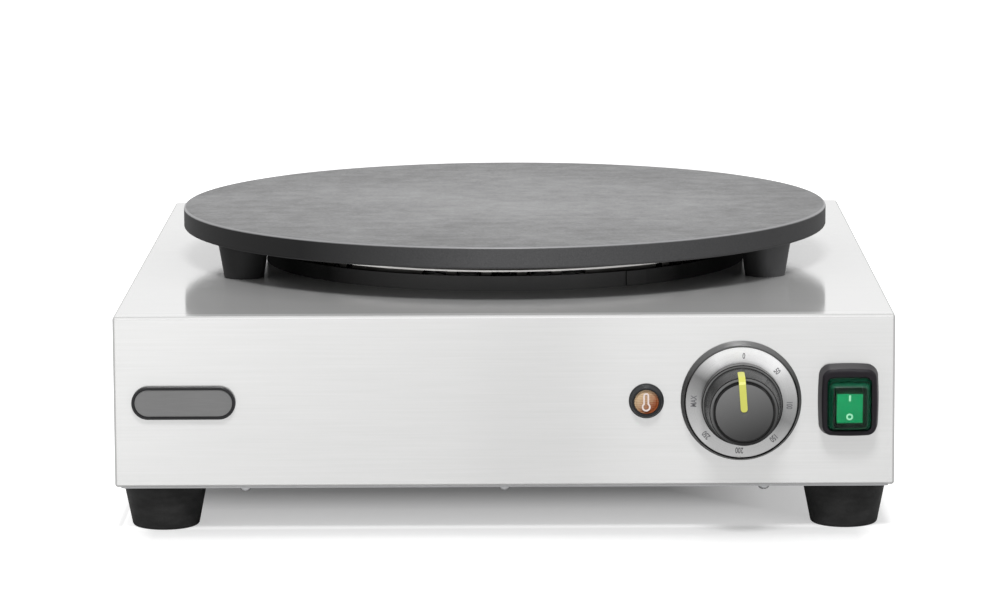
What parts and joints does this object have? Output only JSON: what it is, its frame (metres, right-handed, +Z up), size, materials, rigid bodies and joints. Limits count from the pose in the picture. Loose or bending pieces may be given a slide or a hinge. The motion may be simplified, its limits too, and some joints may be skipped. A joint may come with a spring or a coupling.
{
  "type": "electric crepe maker",
  "caption": "Countertop electric crepe maker: round cast griddle on a low stainless casing with a temperature knob, indicator lamp and splash-proof rocker switch on rubber feet.",
  "frame": {"origin": "under the middle of the whole object, on the worktop that the feet stand on", "axes": "+Z up; +Y from the front controls to the rear panel; +X to the right seen from the front"},
  "size_m": [0.45, 0.5696, 0.1613],
  "materials": {
    "stainless_brushed": "horizontally brushed stainless sheet",
    "stainless_panel": "satin stainless sheet",
    "zinc_steel": "zinc-plated steel",
    "griddle_iron": "machined and seasoned cast iron",
    "black_enamel": "gloss black enamel",
    "bright_steel": "bright drawn steel",
    "element_sheath": "heat-dulled sheath",
    "mineral_board": "pressed mineral fibre",
    "foot_rubber": "matt black rubber",
    "black_plastic": "satin black moulding",
    "frame_plastic": "satin near-black moulding",
    "dial_aluminium": "spun face",
    "pointer_yellow": "pale yellow-green moulding",
    "lamp_grey": "satin dark grey",
    "lens_amber": "ribbed amber lens",
    "boot_green": "see-through green membrane",
    "rocker_green": "bright green moulding",
    "badge_black": "gloss black rim",
    "badge_grey": "bare satin insert",
    "phenolic": "dark moulded thermoset",
    "lead_insulation": "glass-braid sleeve",
    "earth_insulation": "green and yellow sleeve",
    "copper_tube": "bare copper",
    "brass_fittings": "turned brass",
    "block_cream": "glazed steatite",
    "gland_plastic": "black nylon"
  },
  "bodies": {
    "casing": {"backing_plate": "zinc_steel", "badge_insert": "badge_grey", "badge_plate": "badge_black", "bottom_plate": "stainless_panel", "bottom_screws": "zinc_steel", "bulb_clip": "zinc_steel", "burner_collar": "black_enamel", "cable_gland": "gland_plastic", "capillary_tube": "copper_tube", "dial_bezel": "black_plastic", "dial_ring": "dial_aluminium", "earth_lead": "earth_insulation", "earth_nut": "brass_fittings", "earth_stud": "brass_fittings", "element_clamp": "zinc_steel", "element_inner": "element_sheath", "element_middle": "element_sheath", "element_outer": "element_sheath", "foot_front_left": "foot_rubber", "foot_front_right": "foot_rubber", "foot_nuts": "zinc_steel", "foot_rear_left": "foot_rubber", "foot_rear_right": "foot_rubber", "foot_screws": "zinc_steel", "gland_dome_nut": "gland_plastic", "gland_locknut": "gland_plastic", "griddle_plate": "griddle_iron", "griddle_studs": "zinc_steel", "heating_leads": "lead_insulation", "hold_down_bridge": "zinc_steel", "housing_shell": "stainless_brushed", "insulation_board": "mineral_board", "lamp_bezel": "lamp_grey", "lamp_body": "phenolic", "lamp_lens": "lens_amber", "lamp_nut": "zinc_steel", "power_leads": "lead_insulation", "rear_panel": "stainless_panel", "rear_screws": "zinc_steel", "reflector_pan": "bright_steel", "safety_cutout": "phenolic", "small_screws": "zinc_steel", "stud_nuts": "zinc_steel", "stud_spacers": "zinc_steel", "switch_body": "phenolic", "switch_boot": "boot_green", "switch_boot_frame": "frame_plastic", "terminal_block": "block_cream", "terminal_screws": "brass_fittings", "thermostat_body": "phenolic", "thermostat_bulb": "copper_tube", "thermostat_screws": "zinc_steel", "tie_nuts": "zinc_steel", "tie_rod": "zinc_steel", "tie_springs": "zinc_steel", "tie_washer": "zinc_steel"},
    "knob": {"control_knob": "black_plastic", "knob_pointer": "pointer_yellow", "thermostat_shaft": "zinc_steel"},
    "rocker": {"switch_rocker": "rocker_green"}
  },
  "joints": [
    {"name": "knob_turn", "type": "hinge", "parent": "casing", "child": "knob", "pos_m": [0.1364, -0.24325, 0.0775], "axis": [0, 1, 0], "range_deg": [0, 270]},
    {"name": "rocker_tilt", "type": "hinge", "parent": "casing", "child": "rocker", "pos_m": [0.1981, -0.24375, 0.077], "axis": [-1, 0, 0], "range_deg": [0, 20]}
  ]
}
